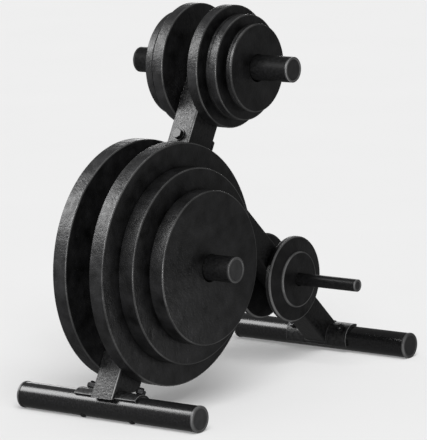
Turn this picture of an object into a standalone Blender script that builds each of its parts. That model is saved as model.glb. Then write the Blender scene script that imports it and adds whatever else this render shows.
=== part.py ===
"""A weight plate tree: two round feet, a leaning post, a strut behind it and three pegs with their plates.

Metres, +Z up, +X along the pegs and -Y to the front. Left is -X and right is +X. The origin lies on the
floor under the middle of the bounding box, so the feet's places along Y are worked out from the sizes.
The post and the strut each have their own frame: its origin is on a foot's axis and its Z runs up the leg.
"""

import math
from typing import NamedTuple

import bmesh
import bpy
from mathutils import Vector

# Clearances
GAP = 0.0003  # between two separate pieces that touch
CUT_MARGIN = 0.02  # how far a cutter runs past what it cuts
WELD_DISTANCE = 0.00001  # points closer than this become one

# Feet
FOOT_RADIUS = 0.02415
FOOT_WALL = 0.0025
FOOT_TUBE_LENGTH = 0.400
FOOT_SPACING = 0.672  # from the front foot's axis to the rear foot's
FOOT_CAP_RADIUS = 0.025
FOOT_CAP_FLAT = 0.0004  # how deep the cap is cut flat where it stands
FOOT_HEIGHT = FOOT_CAP_RADIUS - FOOT_CAP_FLAT  # of a foot's axis above the floor

# End caps of the feet and the pegs
CAP_FLANGE = 0.006
CAP_ROUNDING = 0.0025
CAP_PLUG = 0.018

# Post, a rectangular tube whose centre line meets the front foot's axis
POST_WIDTH = 0.050
POST_DEPTH = 0.072
POST_WALL = 0.003
POST_CORNER = 0.004
POST_LEAN = math.radians(30.6)  # backwards, from the vertical
POST_END_PAST_PEG = 0.0493  # from the top peg's axis to the tube's top end
POST_CUT_HEIGHT = 0.046  # the tube's lower end is cut level here, round the saddle
POST_CAP_FLANGE = 0.004
POST_CAP_PLUG = 0.015

# Saddles, bent plates that join each leg to its foot
SADDLE_THICKNESS = 0.005
SADDLE_LENGTH = 0.143
SADDLE_WRAP = math.radians(144)
SADDLE_INNER = FOOT_RADIUS + GAP
SADDLE_OUTER = SADDLE_INNER + SADDLE_THICKNESS

# Strut, a square tube whose centre line meets the rear foot's axis
STRUT_WIDTH = 0.050
STRUT_DEPTH = 0.050
STRUT_WALL = 0.003
STRUT_CORNER = 0.004
STRUT_BELOW_TOP_PEG = 0.2007  # from the top peg to where its centre line meets the post's back
END_PLATE_THICKNESS = 0.004
END_PLATE_LENGTH = 0.124
END_PLATE_WIDTH = 0.050

# Pegs
PEG_RADIUS = 0.024
PEG_WALL = 0.003
TOP_PEG_REACH_LEFT = 0.174  # from the middle to the face of an end cap
TOP_PEG_REACH_RIGHT = 0.186
MIDDLE_PEG_REACH = 0.189
LOW_PEG_REACH = 0.189
LOW_PEG_RADIUS = 0.012
LOW_PEG_WALL = 0.002
LOW_PEG_ALONG = 0.206  # from the rear foot's axis, along the strut
PEG_CAP_FLANGE = 0.005
LOW_PEG_CAP_FLANGE = 0.004

# Fasteners of the saddles: round headed bolts from below, with a nut on top
SADDLE_BOLT_RADIUS = 0.005
SADDLE_BOLT_OFFSET = 0.057  # from the leg's middle
SADDLE_BOLT_HEAD_RADIUS = 0.0063
SADDLE_BOLT_HEAD_HEIGHT = 0.003
SADDLE_BOLT_END = 0.004  # past the nut
SADDLE_NUT_ACROSS = 0.016
SADDLE_NUT_HEIGHT = 0.0084

# Fasteners of the strut: hexagon bolts through the post and the end plate
STRUT_BOLT_RADIUS = 0.006
STRUT_BOLT_ABOVE = 0.0435  # from the strut's centre line, along the post
STRUT_BOLT_BELOW = 0.0485
STRUT_BOLT_HEAD_HEIGHT = 0.0075
STRUT_BOLT_ACROSS = 0.018
STRUT_BOLT_END = 0.004
STRUT_NUT_HEIGHT = 0.010
WASHER_RADIUS = 0.012
WASHER_THICKNESS = 0.0025

# Plates
LARGE_RADIUS = 0.225
LARGE_THICKNESS = 0.0307
BROAD_RADIUS = 0.1815
BROAD_THICKNESS = 0.0335
MEDIUM_RADIUS = 0.1425
MEDIUM_THICKNESS = 0.0316
SMALL_RADIUS = 0.115
SMALL_THICKNESS = 0.0232
LIGHT_RADIUS = 0.0988
LIGHT_THICKNESS = 0.0240
LIGHTEST_RADIUS = 0.0822
LIGHTEST_THICKNESS = 0.0140
HUBBED_RADIUS = 0.083
HUBBED_THICKNESS = 0.011
HUB_RADIUS = 0.054
HUB_SIDE = 0.005  # height of the hub's side
HUB_SLOPE = 0.006  # how far the face rises from the rim to the hub's foot
HUB_TAPER = 0.001  # how much wider a hub is at its foot
WIDE_BORE_RADIUS = 0.0258
NARROW_BORE_RADIUS = 0.013
PLATE_EDGE = 0.002  # bevel of a plate's rim

# Free spaces round the plates
LARGE_OVER_FLOOR = 0.0429  # between the floor and the large plates
SMALL_OVER_LARGE = 0.0543  # between the rims of the large and the small plates
LARGE_FROM_LEG = 0.0019
BROAD_FROM_LARGE = 0.0018
MEDIUM_FROM_BROAD = 0.0058
SMALL_FROM_LEG_LEFT = 0.0070
LIGHT_FROM_SMALL_LEFT = 0.0055
SMALL_FROM_LEG_RIGHT = 0.0005
LIGHT_FROM_SMALL_RIGHT = 0.0078
LIGHTEST_FROM_LIGHT = 0.0095
HUBBED_FROM_LEG_LEFT = 0.0070
HUBBED_FROM_LEG_RIGHT = 0.0050


class PlateKind(NamedTuple):
    """A size of plate. A hub, if it has one, stands out of its outer face."""

    name: str
    radius: float
    thickness: float
    bore_radius: float
    has_hub: bool = False

    def depth(self):
        return self.thickness + (HUB_SLOPE + HUB_SIDE if self.has_hub else 0)


class Hung(NamedTuple):
    """A plate on a peg, and the free space between it and what is next to it on the leg's side."""

    kind: PlateKind
    space: float


LARGE = PlateKind("large_plate", LARGE_RADIUS, LARGE_THICKNESS, WIDE_BORE_RADIUS)
BROAD = PlateKind("broad_plate", BROAD_RADIUS, BROAD_THICKNESS, WIDE_BORE_RADIUS)
MEDIUM = PlateKind("medium_plate", MEDIUM_RADIUS, MEDIUM_THICKNESS, WIDE_BORE_RADIUS)
SMALL = PlateKind("small_plate", SMALL_RADIUS, SMALL_THICKNESS, WIDE_BORE_RADIUS)
LIGHT = PlateKind("light_plate", LIGHT_RADIUS, LIGHT_THICKNESS, WIDE_BORE_RADIUS)
LIGHTEST = PlateKind("lightest_plate", LIGHTEST_RADIUS, LIGHTEST_THICKNESS, WIDE_BORE_RADIUS)
HUBBED = PlateKind("hub_plate", HUBBED_RADIUS, HUBBED_THICKNESS, NARROW_BORE_RADIUS, has_hub=True)

LEFT, RIGHT = -1, 1
SIDE_NAMES = {LEFT: "left", RIGHT: "right"}

# The plates at each end of a peg, from the leg outwards
TOP_PEG_PLATES = {
    LEFT: [Hung(SMALL, SMALL_FROM_LEG_LEFT), Hung(LIGHT, LIGHT_FROM_SMALL_LEFT)],
    RIGHT: [
        Hung(SMALL, SMALL_FROM_LEG_RIGHT),
        Hung(LIGHT, LIGHT_FROM_SMALL_RIGHT),
        Hung(LIGHTEST, LIGHTEST_FROM_LIGHT),
    ],
}
MIDDLE_PEG_PLATES = {
    LEFT: [Hung(LARGE, LARGE_FROM_LEG)],
    RIGHT: [
        Hung(LARGE, LARGE_FROM_LEG),
        Hung(BROAD, BROAD_FROM_LARGE),
        Hung(MEDIUM, MEDIUM_FROM_BROAD),
    ],
}
LOW_PEG_PLATES = {
    LEFT: [Hung(HUBBED, HUBBED_FROM_LEG_LEFT)],
    RIGHT: [Hung(HUBBED, HUBBED_FROM_LEG_RIGHT)],
}

# Steps round a turned piece
TUBE_STEPS = 32
LOW_PEG_STEPS = 24
SMALL_STEPS = 16
SADDLE_STEPS = 16
PLATE_STEPS = 40
LARGE_PLATE_STEPS = 56

# Straight pieces of the small arcs
CORNER_STEPS = 3
CAP_EDGE_STEPS = 2
BOLT_HEAD_STEPS = 3
SHARP_ANGLE = math.radians(35)  # edges sharper than this stay sharp


def hang_drop(bore_radius, peg_radius):
    """How far a hanging plate's middle is below its peg's, with the bore's top on the peg."""
    return bore_radius - peg_radius - GAP


# The pegs' places along the post follow from the plates that hang on them
MIDDLE_PEG_HEIGHT = LARGE_OVER_FLOOR + LARGE_RADIUS + hang_drop(WIDE_BORE_RADIUS, PEG_RADIUS)
MIDDLE_PEG_ALONG = (MIDDLE_PEG_HEIGHT - FOOT_HEIGHT) / math.cos(POST_LEAN)
TOP_PEG_ALONG = MIDDLE_PEG_ALONG + LARGE_RADIUS + SMALL_OVER_LARGE + SMALL_RADIUS
POST_LENGTH = TOP_PEG_ALONG + POST_END_PAST_PEG  # from the front foot's axis
STRUT_JOINT_ALONG = TOP_PEG_ALONG - STRUT_BELOW_TOP_PEG

# Places, in the plane of the post and the strut, counted from the front foot's axis
MIDDLE_PEG_BACK = MIDDLE_PEG_ALONG * math.sin(POST_LEAN)
JOINT_BACK = STRUT_JOINT_ALONG * math.sin(POST_LEAN) + POST_DEPTH / 2 * math.cos(POST_LEAN)
JOINT_UP = STRUT_JOINT_ALONG * math.cos(POST_LEAN) - POST_DEPTH / 2 * math.sin(POST_LEAN)
STRUT_LEAN = math.atan2(FOOT_SPACING - JOINT_BACK, JOINT_UP)  # forwards, from the vertical
STRUT_LENGTH = math.hypot(FOOT_SPACING - JOINT_BACK, JOINT_UP)

# Places of the strut's bolts along the post
STRUT_BOLT_LEVELS = {
    "lower": STRUT_JOINT_ALONG - STRUT_BOLT_BELOW,
    "upper": STRUT_JOINT_ALONG + STRUT_BOLT_ABOVE,
}

# The bounding box's middle is the origin
FRONT_REACH = max(FOOT_CAP_RADIUS, LARGE_RADIUS - MIDDLE_PEG_BACK)
REAR_REACH = FOOT_SPACING + FOOT_CAP_RADIUS
FRONT_FOOT_Y = (FRONT_REACH - REAR_REACH) / 2
REAR_FOOT_Y = FRONT_FOOT_Y + FOOT_SPACING

# Rotations that turn a piece's own Z along +X, -X or a leg's +Y
ALONG_X = {RIGHT: (0, math.pi / 2, 0), LEFT: (0, -math.pi / 2, 0)}
ALONG_Y = (-math.pi / 2, 0, 0)


def clear_scene():
    for obj in list(bpy.data.objects):
        bpy.data.objects.remove(obj, do_unlink=True)


def new_collection(name):
    collection = bpy.data.collections.new(name)
    bpy.context.scene.collection.children.link(collection)
    return collection


def new_material(name, color, roughness, metallic=0.0):
    material = bpy.data.materials.new(name)
    material.use_nodes = True
    shader = material.node_tree.nodes["Principled BSDF"]
    shader.inputs["Base Color"].default_value = (*color, 1.0)
    shader.inputs["Roughness"].default_value = roughness
    shader.inputs["Metallic"].default_value = metallic
    return material


def new_empty(name, location, lean):
    """A leg's frame: its origin on the foot's axis and its Z up the leg."""
    empty = bpy.data.objects.new(name, None)
    empty.location = location
    empty.rotation_euler = (lean, 0, 0)
    PARTS.objects.link(empty)
    return empty


def add_object(name, data, parent=None, location=(0, 0, 0), rotation=(0, 0, 0), material=None):
    obj = bpy.data.objects.new(name, data)
    PARTS.objects.link(obj)
    obj.parent = parent
    obj.location = location
    obj.rotation_euler = rotation
    if material is not None:
        data.materials.append(material)
    return obj


def make_cutter(obj):
    """Moves an object to the cutters, which are not part of the model."""
    PARTS.objects.unlink(obj)
    CUTTERS.objects.link(obj)
    obj.hide_render = True
    obj.display_type = "WIRE"
    return obj


def combine(obj, other, operation="DIFFERENCE"):
    modifier = obj.modifiers.new(f"{operation.lower()}_{other.name}", "BOOLEAN")
    modifier.operation = operation
    modifier.object = other


def evaluated_mesh(obj):
    """Puts an object's modifiers into a new mesh of its own and welds it."""
    bpy.context.view_layer.update()
    graph = bpy.context.evaluated_depsgraph_get()
    mesh = bpy.data.meshes.new_from_object(obj.evaluated_get(graph))
    shape = bmesh.new()
    shape.from_mesh(mesh)
    bmesh.ops.remove_doubles(shape, verts=shape.verts, dist=WELD_DISTANCE)
    shape.to_mesh(mesh)
    shape.free()
    return mesh


def profile_mesh(name, points, closed):
    """A profile in the XZ plane, from points (radius, height)."""
    shape = bmesh.new()
    verts = [shape.verts.new((radius, 0, height)) for radius, height in points]
    for first, second in zip(verts, verts[1:]):
        shape.edges.new((first, second))
    if closed:
        shape.edges.new((verts[-1], verts[0]))
    mesh = bpy.data.meshes.new(name)
    shape.to_mesh(mesh)
    shape.free()
    return mesh


def turn(obj, steps, angle=2 * math.pi):
    modifier = obj.modifiers.new("turn", "SCREW")
    modifier.axis = "Z"
    modifier.angle = angle
    modifier.steps = steps
    modifier.render_steps = steps
    modifier.use_merge_vertices = True
    modifier.merge_threshold = WELD_DISTANCE
    modifier.use_smooth_shade = True


def turned(name, points, steps, material=None, closed=False, **place):
    obj = add_object(name, profile_mesh(name, points, closed), material=material, **place)
    turn(obj, steps)
    return obj


def tube_profile(outer, inner, low, high):
    """A closed loop: down the outside and up the inside."""
    return [(outer, high), (outer, low), (inner, low), (inner, high)]


def arc(centre, radius, start, end, count):
    """Points (radius, height) on an arc, from angle start to angle end in degrees."""
    angles = [math.radians(start + (end - start) * i / count) for i in range(count + 1)]
    return [(centre[0] + radius * math.cos(a), centre[1] + radius * math.sin(a)) for a in angles]


def rounded_rectangle(width, depth, corner):
    points = []
    for index, (x, y) in enumerate([(1, 1), (-1, 1), (-1, -1), (1, -1)]):
        centre = (x * (width / 2 - corner), y * (depth / 2 - corner))
        points += arc(centre, corner, 90 * index, 90 * index + 90, CORNER_STEPS)
    return points


def polygon(across_flats, corners=6):
    reach = across_flats / 2 / math.cos(math.pi / corners)
    turns = [2 * math.pi * i / corners for i in range(corners)]
    return [(reach * math.cos(t), reach * math.sin(t)) for t in turns]


def extruded(name, outlines, length, material=None, **place):
    """Extrudes a flat outline evenly to both sides along its Z. Any further outlines are holes in it."""
    curve = bpy.data.curves.new(name, "CURVE")
    curve.dimensions = "2D"
    curve.fill_mode = "BOTH"
    curve.extrude = length / 2
    for outline in outlines:
        spline = curve.splines.new("POLY")
        spline.points.add(len(outline) - 1)
        spline.use_cyclic_u = True
        for point, (x, y) in zip(spline.points, outline):
            point.co = (x, y, 0, 1)
    outline_object = add_object(name + "_outline", curve)
    mesh = evaluated_mesh(outline_object)
    bpy.data.objects.remove(outline_object, do_unlink=True)
    bpy.data.curves.remove(curve)
    mesh.name = name
    mesh.shade_smooth()
    mesh.set_sharp_from_angle(angle=SHARP_ANGLE)
    return add_object(name, mesh, material=material, **place)


def box_cutter(name, low, high, parent=None):
    shape = bmesh.new()
    bmesh.ops.create_cube(shape, size=1.0)
    for vert in shape.verts:
        for axis in range(3):
            vert.co[axis] = high[axis] if vert.co[axis] > 0 else low[axis]
    mesh = bpy.data.meshes.new(name)
    shape.to_mesh(mesh)
    shape.free()
    return make_cutter(add_object(name, mesh, parent=parent))


def round_cutter(name, radius, length, parent, location, rotation, steps=TUBE_STEPS):
    """A cylinder along its own Z, to cut a hole."""
    shape = bmesh.new()
    bmesh.ops.create_cone(shape, cap_ends=True, segments=steps, radius1=radius, radius2=radius, depth=length)
    mesh = bpy.data.meshes.new(name)
    shape.to_mesh(mesh)
    shape.free()
    return make_cutter(add_object(name, mesh, parent=parent, location=location, rotation=rotation))


def cap_profile(radius, flange, plug_radius, plug_depth, rounding):
    """An end cap: a rounded flange outside the tube and a plug inside it, with the tube's end at height 0."""
    return (
        [(0, flange)]
        + arc((radius - rounding, flange - rounding), rounding, 90, 0, CAP_EDGE_STEPS)
        + [(radius, GAP), (plug_radius, GAP), (plug_radius, -plug_depth), (0, -plug_depth)]
    )


def add_foot(place, y, saddle_holes):
    """A foot's tube and its two caps. The saddle's bolts pass through the tube."""
    tube = turned(
        f"{place}_foot_tube",
        tube_profile(FOOT_RADIUS, FOOT_RADIUS - FOOT_WALL, -FOOT_TUBE_LENGTH / 2, FOOT_TUBE_LENGTH / 2),
        TUBE_STEPS,
        PAINT,
        closed=True,
        location=(0, y, FOOT_HEIGHT),
        rotation=ALONG_X[RIGHT],
    )
    for hole in saddle_holes:
        combine(tube, hole)
    for side, side_name in SIDE_NAMES.items():
        cap = turned(
            f"{place}_foot_cap_{side_name}",
            cap_profile(FOOT_CAP_RADIUS, CAP_FLANGE, FOOT_RADIUS - FOOT_WALL - GAP, CAP_PLUG, CAP_ROUNDING),
            TUBE_STEPS,
            PLASTIC,
            location=(side * FOOT_TUBE_LENGTH / 2, y, FOOT_HEIGHT),
            rotation=ALONG_X[side],
        )
        combine(cap, FLOOR_CUTTER)


def saddle_hole_cutters(place, leg):
    """The holes that a saddle's bolts need, through the saddle and the foot."""
    length = 2 * (SADDLE_OUTER + CUT_MARGIN)
    return [
        round_cutter(
            f"{place}_saddle_hole_{side_name}",
            SADDLE_BOLT_RADIUS + GAP,
            length,
            leg,
            (side * SADDLE_BOLT_OFFSET, 0, 0),
            (0, 0, 0),
            SMALL_STEPS,
        )
        for side, side_name in SIDE_NAMES.items()
    ]


def add_saddle(place, leg, holes):
    """A bent plate round the foot's side that faces the leg."""
    start = math.pi - SADDLE_WRAP / 2
    shape = bmesh.new()
    ends = [
        shape.verts.new((SADDLE_INNER * math.cos(start), SADDLE_INNER * math.sin(start), height))
        for height in (SADDLE_LENGTH / 2, -SADDLE_LENGTH / 2)
    ]
    shape.edges.new(ends)
    mesh = bpy.data.meshes.new(f"{place}_saddle")
    shape.to_mesh(mesh)
    shape.free()
    saddle = add_object(f"{place}_saddle", mesh, parent=leg, rotation=ALONG_X[RIGHT], material=PAINT)
    turn(saddle, SADDLE_STEPS, SADDLE_WRAP)
    shell = saddle.modifiers.new("thickness", "SOLIDIFY")
    shell.thickness = SADDLE_THICKNESS
    shell.offset = 1.0
    shell.use_even_offset = True
    for hole in holes:
        combine(saddle, hole)


def add_saddle_fasteners(place, leg):
    """A bolt from below through the foot and the saddle at each side, and a nut on it."""
    seat = -(FOOT_RADIUS + GAP)
    nut_low = SADDLE_OUTER + GAP
    end = nut_low + SADDLE_NUT_HEIGHT + SADDLE_BOLT_END
    sphere = (SADDLE_BOLT_HEAD_RADIUS**2 + SADDLE_BOLT_HEAD_HEIGHT**2) / (2 * SADDLE_BOLT_HEAD_HEIGHT)
    centre = seat - SADDLE_BOLT_HEAD_HEIGHT + sphere
    rim_angle = math.degrees(math.asin((seat - centre) / sphere))
    dome = arc((0, centre), sphere, rim_angle, -90, BOLT_HEAD_STEPS)
    bolt = [(0, end), (SADDLE_BOLT_RADIUS, end), (SADDLE_BOLT_RADIUS, seat)] + dome[:-1]
    bolt.append((0, seat - SADDLE_BOLT_HEAD_HEIGHT))
    bore = polygon(2 * (SADDLE_BOLT_RADIUS + GAP), SMALL_STEPS)
    for side, side_name in SIDE_NAMES.items():
        turned(
            f"{place}_saddle_bolt_{side_name}",
            bolt,
            SMALL_STEPS,
            FASTENER,
            parent=leg,
            location=(side * SADDLE_BOLT_OFFSET, 0, 0),
        )
        extruded(
            f"{place}_saddle_nut_{side_name}",
            [polygon(SADDLE_NUT_ACROSS), bore],
            SADDLE_NUT_HEIGHT,
            FASTENER,
            parent=leg,
            location=(side * SADDLE_BOLT_OFFSET, 0, nut_low + SADDLE_NUT_HEIGHT / 2),
        )


def rectangular_tube(name, leg, width, depth, wall, corner, low, high):
    outlines = [
        rounded_rectangle(width, depth, corner),
        rounded_rectangle(width - 2 * wall, depth - 2 * wall, corner - wall),
    ]
    return extruded(name, outlines, high - low, PAINT, parent=leg, location=(0, 0, (low + high) / 2))


def cross_hole(name, leg, radius, along, width):
    return round_cutter(name, radius + GAP, width + CUT_MARGIN, leg, (0, 0, along), ALONG_X[RIGHT])


def add_post(leg):
    post = rectangular_tube(
        "post_tube", leg, POST_WIDTH, POST_DEPTH, POST_WALL, POST_CORNER, -POST_DEPTH, POST_LENGTH
    )
    level = box_cutter(
        "post_level_cut",
        (-POST_WIDTH, FRONT_FOOT_Y - POST_DEPTH * 2, -POST_DEPTH * 2),
        (POST_WIDTH, FRONT_FOOT_Y + POST_DEPTH * 2, POST_CUT_HEIGHT),
    )
    combine(post, level)
    cope = round_cutter(
        "post_cope", SADDLE_OUTER + GAP, POST_WIDTH + CUT_MARGIN, leg, (0, 0, 0), ALONG_X[RIGHT]
    )
    combine(post, cope)
    combine(post, cross_hole("top_peg_hole", leg, PEG_RADIUS, TOP_PEG_ALONG, POST_WIDTH))
    combine(post, cross_hole("middle_peg_hole", leg, PEG_RADIUS, MIDDLE_PEG_ALONG, POST_WIDTH))
    for hole in STRUT_BOLT_HOLES:
        combine(post, hole)


def add_post_cap(leg):
    cap = extruded(
        "post_top_cap",
        [rounded_rectangle(POST_WIDTH, POST_DEPTH, POST_CORNER)],
        POST_CAP_FLANGE,
        PLASTIC,
        parent=leg,
        location=(0, 0, POST_LENGTH + GAP + POST_CAP_FLANGE / 2),
    )
    inside = 2 * (POST_WALL + GAP)
    plug_length = POST_CAP_PLUG + GAP + POST_CAP_FLANGE / 2
    plug = extruded(
        "post_cap_plug",
        [rounded_rectangle(POST_WIDTH - inside, POST_DEPTH - inside, POST_CORNER - POST_WALL)],
        plug_length,
        parent=leg,
        location=(0, 0, POST_LENGTH - POST_CAP_PLUG + plug_length / 2),
    )
    combine(cap, make_cutter(plug), "UNION")


def strut_bolt_hole_cutters(leg):
    """Holes right through the post and the strut's end plate."""
    length = POST_DEPTH + 2 * (END_PLATE_THICKNESS + CUT_MARGIN)
    return [
        round_cutter(
            f"strut_bolt_hole_{level}",
            STRUT_BOLT_RADIUS + GAP,
            length,
            leg,
            (0, 0, along),
            ALONG_Y,
            SMALL_STEPS,
        )
        for level, along in STRUT_BOLT_LEVELS.items()
    ]


def add_end_plate(leg):
    """The plate on the strut's upper end, against the post's back."""
    plate = extruded(
        "strut_end_plate",
        [rounded_rectangle(END_PLATE_WIDTH, END_PLATE_LENGTH, STRUT_CORNER)],
        END_PLATE_THICKNESS,
        PAINT,
        parent=leg,
        location=(0, POST_DEPTH / 2 + GAP + END_PLATE_THICKNESS / 2, STRUT_JOINT_ALONG),
        rotation=ALONG_Y,
    )
    for hole in STRUT_BOLT_HOLES:
        combine(plate, hole)


def add_strut(leg, post_leg):
    strut = rectangular_tube(
        "strut_tube", leg, STRUT_WIDTH, STRUT_DEPTH, STRUT_WALL, STRUT_CORNER, 0, STRUT_LENGTH + POST_DEPTH
    )
    cope = round_cutter(
        "strut_cope", SADDLE_OUTER + GAP, STRUT_WIDTH + CUT_MARGIN, leg, (0, 0, 0), ALONG_X[RIGHT]
    )
    combine(strut, cope)
    face = POST_DEPTH / 2 + GAP + END_PLATE_THICKNESS + GAP
    upper_end = box_cutter(
        "strut_end_cut",
        (-STRUT_WIDTH, face - 3 * POST_DEPTH, STRUT_JOINT_ALONG - END_PLATE_LENGTH),
        (STRUT_WIDTH, face, STRUT_JOINT_ALONG + END_PLATE_LENGTH),
        parent=post_leg,
    )
    combine(strut, upper_end)
    combine(strut, cross_hole("low_peg_hole", leg, LOW_PEG_RADIUS, LOW_PEG_ALONG, STRUT_WIDTH))


def add_strut_fasteners(leg):
    """Two hexagon bolts, each with a washer at both ends and a nut behind."""
    front = -POST_DEPTH / 2 - GAP
    back = POST_DEPTH / 2 + 2 * GAP + END_PLATE_THICKNESS
    head_face = front - WASHER_THICKNESS - GAP
    nut_face = back + WASHER_THICKNESS + GAP
    bolt_end = nut_face + STRUT_NUT_HEIGHT + STRUT_BOLT_END
    head_middle = head_face - STRUT_BOLT_HEAD_HEIGHT / 2
    shank_length = bolt_end - head_middle
    bore = polygon(2 * (STRUT_BOLT_RADIUS + GAP), SMALL_STEPS)
    washer = tube_profile(WASHER_RADIUS, STRUT_BOLT_RADIUS + GAP, 0, WASHER_THICKNESS)
    for level, along in STRUT_BOLT_LEVELS.items():
        bolt = extruded(
            f"strut_bolt_{level}",
            [polygon(STRUT_BOLT_ACROSS)],
            STRUT_BOLT_HEAD_HEIGHT,
            FASTENER,
            parent=leg,
            location=(0, head_middle, along),
            rotation=ALONG_Y,
        )
        shank = round_cutter(
            f"strut_bolt_shank_{level}",
            STRUT_BOLT_RADIUS,
            shank_length,
            leg,
            (0, bolt_end - shank_length / 2, along),
            ALONG_Y,
            SMALL_STEPS,
        )
        combine(bolt, shank, "UNION")
        extruded(
            f"strut_nut_{level}",
            [polygon(STRUT_BOLT_ACROSS), bore],
            STRUT_NUT_HEIGHT,
            FASTENER,
            parent=leg,
            location=(0, nut_face + STRUT_NUT_HEIGHT / 2, along),
            rotation=ALONG_Y,
        )
        for end_name, place in (("front", front - WASHER_THICKNESS), ("back", back)):
            turned(
                f"strut_washer_{end_name}_{level}",
                washer,
                SMALL_STEPS,
                FASTENER,
                closed=True,
                parent=leg,
                location=(0, place, along),
                rotation=ALONG_Y,
            )


def add_peg(place, leg, along, radius, wall, reach_left, reach_right, flange, steps):
    """A tube through the leg, with a cap in each end."""
    left = flange - reach_left
    right = reach_right - flange
    turned(
        f"{place}_peg_tube",
        tube_profile(radius, radius - wall, left, right),
        steps,
        PAINT,
        closed=True,
        parent=leg,
        location=(0, 0, along),
        rotation=ALONG_X[RIGHT],
    )
    rounding = min(CAP_ROUNDING, flange - 2 * GAP)
    for side, end in ((LEFT, left), (RIGHT, right)):
        turned(
            f"{place}_peg_cap_{SIDE_NAMES[side]}",
            cap_profile(radius, flange, radius - wall - GAP, CAP_PLUG, rounding),
            steps,
            PLASTIC,
            parent=leg,
            location=(end, 0, along),
            rotation=ALONG_X[side],
        )


def plate_profile(kind):
    """A closed loop: the outer face, down the rim, the back and up the bore. The back is at height 0."""
    rim = kind.thickness
    outer_face = [(kind.bore_radius, kind.depth())]
    if kind.has_hub:
        outer_face += [(HUB_RADIUS, kind.depth()), (HUB_RADIUS + HUB_TAPER, rim + HUB_SLOPE)]
    rim_corners = [
        (kind.radius - PLATE_EDGE, rim),
        (kind.radius, rim - PLATE_EDGE),
        (kind.radius, PLATE_EDGE),
        (kind.radius - PLATE_EDGE, 0),
    ]
    return outer_face + rim_corners + [(kind.bore_radius, 0)]


def add_plates(leg, along, peg_radius, leg_width, plates):
    """Hangs the plates of both ends of a peg. Each plate's own Z runs along the peg, away from the leg."""
    bpy.context.view_layer.update()
    peg_middle = leg.matrix_world @ Vector((0, 0, along))
    for side, stack in plates.items():
        offset = leg_width / 2
        for kind, space in stack:
            offset += space
            turned(
                f"{kind.name}_{SIDE_NAMES[side]}",
                plate_profile(kind),
                LARGE_PLATE_STEPS if kind is LARGE else PLATE_STEPS,
                PLATE_COATING,
                closed=True,
                location=(side * offset, peg_middle.y, peg_middle.z - hang_drop(kind.bore_radius, peg_radius)),
                rotation=ALONG_X[side],
            )
            offset += kind.depth()


clear_scene()
PARTS = new_collection("weight_plate_tree")
CUTTERS = new_collection("cutters")
PAINT = new_material("black_paint", (0.022, 0.022, 0.023), 0.42)
PLASTIC = new_material("black_plastic", (0.018, 0.018, 0.019), 0.5)
FASTENER = new_material("blackened_steel", (0.03, 0.03, 0.032), 0.38, 0.6)
PLATE_COATING = new_material("plate_coating", (0.02, 0.02, 0.021), 0.5)

POST_LEG = new_empty("post_frame", (0, FRONT_FOOT_Y, FOOT_HEIGHT), -POST_LEAN)
STRUT_LEG = new_empty("strut_frame", (0, REAR_FOOT_Y, FOOT_HEIGHT), STRUT_LEAN)
FLOOR_CUTTER = box_cutter(
    "floor_cut",
    (-FOOT_TUBE_LENGTH, FRONT_FOOT_Y - 3 * FOOT_CAP_RADIUS, -FOOT_CAP_RADIUS),
    (FOOT_TUBE_LENGTH, REAR_FOOT_Y + 3 * FOOT_CAP_RADIUS, 0),
)
STRUT_BOLT_HOLES = strut_bolt_hole_cutters(POST_LEG)

for foot_place, foot_y, foot_leg in (
    ("front", FRONT_FOOT_Y, POST_LEG),
    ("rear", REAR_FOOT_Y, STRUT_LEG),
):
    bolt_holes = saddle_hole_cutters(foot_place, foot_leg)
    add_foot(foot_place, foot_y, bolt_holes)
    add_saddle(foot_place, foot_leg, bolt_holes)
    add_saddle_fasteners(foot_place, foot_leg)

add_post(POST_LEG)
add_post_cap(POST_LEG)
add_strut(STRUT_LEG, POST_LEG)
add_end_plate(POST_LEG)
add_strut_fasteners(POST_LEG)

add_peg(
    "top",
    POST_LEG,
    TOP_PEG_ALONG,
    PEG_RADIUS,
    PEG_WALL,
    TOP_PEG_REACH_LEFT,
    TOP_PEG_REACH_RIGHT,
    PEG_CAP_FLANGE,
    TUBE_STEPS,
)
add_peg(
    "middle",
    POST_LEG,
    MIDDLE_PEG_ALONG,
    PEG_RADIUS,
    PEG_WALL,
    MIDDLE_PEG_REACH,
    MIDDLE_PEG_REACH,
    PEG_CAP_FLANGE,
    TUBE_STEPS,
)
add_peg(
    "low",
    STRUT_LEG,
    LOW_PEG_ALONG,
    LOW_PEG_RADIUS,
    LOW_PEG_WALL,
    LOW_PEG_REACH,
    LOW_PEG_REACH,
    LOW_PEG_CAP_FLANGE,
    LOW_PEG_STEPS,
)

add_plates(POST_LEG, TOP_PEG_ALONG, PEG_RADIUS, POST_WIDTH, TOP_PEG_PLATES)
add_plates(POST_LEG, MIDDLE_PEG_ALONG, PEG_RADIUS, POST_WIDTH, MIDDLE_PEG_PLATES)
add_plates(STRUT_LEG, LOW_PEG_ALONG, LOW_PEG_RADIUS, STRUT_WIDTH, LOW_PEG_PLATES)
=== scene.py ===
"""The looks of a weight plate tree: a leaning post and its strut on two feet, and three pegs of plates.

The file is laid out as an add-on: a property group holds the sizes and colours, an operator makes each
group of pieces, and a panel lists them. Run as a script, it makes everything in order.
"""

import math

import bmesh
import bpy
from bpy.props import FloatProperty, FloatVectorProperty, IntProperty, PointerProperty
from mathutils import Matrix, Vector


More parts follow.
